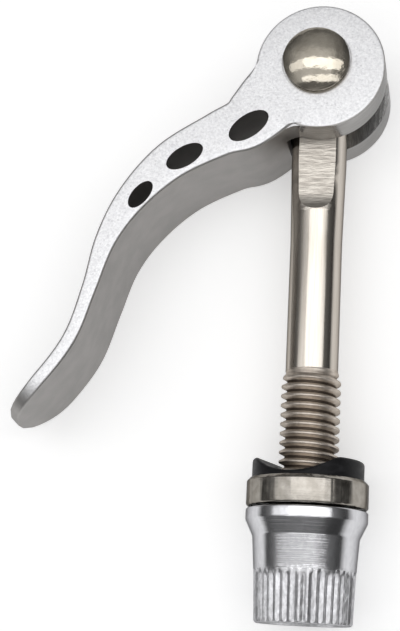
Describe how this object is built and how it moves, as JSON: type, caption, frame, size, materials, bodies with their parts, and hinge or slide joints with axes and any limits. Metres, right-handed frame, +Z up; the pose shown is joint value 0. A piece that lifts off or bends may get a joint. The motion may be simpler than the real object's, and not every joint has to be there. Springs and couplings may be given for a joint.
{
  "type": "quick-release seatpost clamp skewer",
  "caption": "Quick-release skewer of a seatpost clamp: cam lever with oval holes on a domed pin, threaded eye bolt, concave saddle, steel washer and knurled nut.",
  "frame": {"origin": "foot of the pivot pin's axis on the lever's rear face, in the plane that the part lies on", "axes": "+Z up along the pivot pin towards its domed head, -Y along the bolt towards the nut, -X towards the lever's arm"},
  "size_m": [0.0496, 0.0819, 0.0184],
  "materials": {
    "lever_aluminium": "fine satin-blasted aluminium",
    "pin_steel": "polished nickel plate on steel",
    "bolt_steel": "warm nickel plate on steel",
    "saddle_plastic": "black moulded nylon",
    "washer_steel": "turned steel, nickel plated",
    "nut_aluminium": "bright turned aluminium with a straight knurl"
  },
  "bodies": {
    "bolt": {"skewer_bolt": "bolt_steel"},
    "cam_lever": {"lever": "lever_aluminium", "pivot_pin": "pin_steel"},
    "washer": {"cup_washer": "washer_steel"},
    "cam_saddle": {"saddle": "saddle_plastic"},
    "nut": {"adjusting_nut": "nut_aluminium"}
  },
  "joints": [
    {"name": "lever_pivot", "type": "hinge", "parent": "bolt", "child": "cam_lever", "pos_m": [0, 0, 0.008], "axis": [0, 0, 1], "range_deg": [-180, 0]},
    {"name": "washer_slide", "type": "slide", "parent": "bolt", "child": "washer", "axis": [0, 1, 0], "range_m": [0, 0.04]},
    {"name": "saddle_spin", "type": "hinge", "parent": "washer", "child": "cam_saddle", "pos_m": [0, -0.05525, 0.008], "axis": [0, -1, 0], "continuous": true},
    {"name": "nut_spin", "type": "hinge", "parent": "bolt", "child": "nut", "pos_m": [0, -0.0665, 0.008], "axis": [0, -1, 0], "continuous": true}
  ]
}
